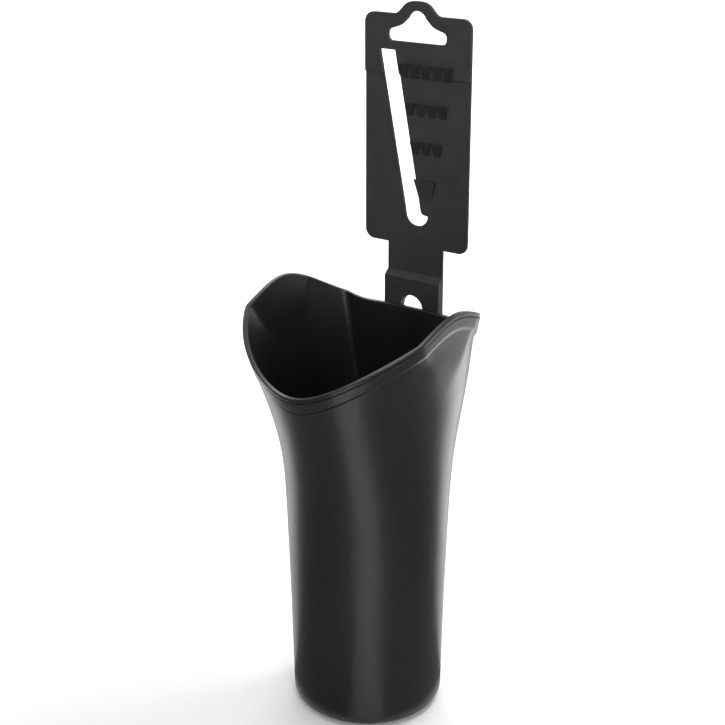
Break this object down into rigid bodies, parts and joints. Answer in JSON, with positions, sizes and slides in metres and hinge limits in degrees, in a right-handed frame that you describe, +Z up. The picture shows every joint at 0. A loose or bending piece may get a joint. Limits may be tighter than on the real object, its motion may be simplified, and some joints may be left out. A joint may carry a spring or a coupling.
{
  "type": "toilet brush holder",
  "caption": "Tall flared cup with a scalloped rim and a lift-out liner, on a flat wall hanger, that holds a toilet brush.",
  "frame": {"origin": "centre of the round foot, on the surface the holder stands on", "axes": "+Z up, +Y towards the wall behind the holder, +X to the right for someone facing the wall"},
  "size_m": [0.1068, 0.1025, 0.3531],
  "materials": {
    "cup_plastic": "black satin moulded plastic",
    "liner_plastic": "black satin moulded plastic, a little darker inside",
    "hanger_plastic": "black matte moulded plastic"
  },
  "bodies": {
    "holder": {"outer_shell": "cup_plastic", "hanger": "hanger_plastic"},
    "liner": {"inner_liner": "liner_plastic"}
  },
  "joints": [
    {"name": "liner_lift", "type": "slide", "parent": "holder", "child": "liner", "axis": [0, 0, 1], "range_m": [0, 0.22]}
  ]
}
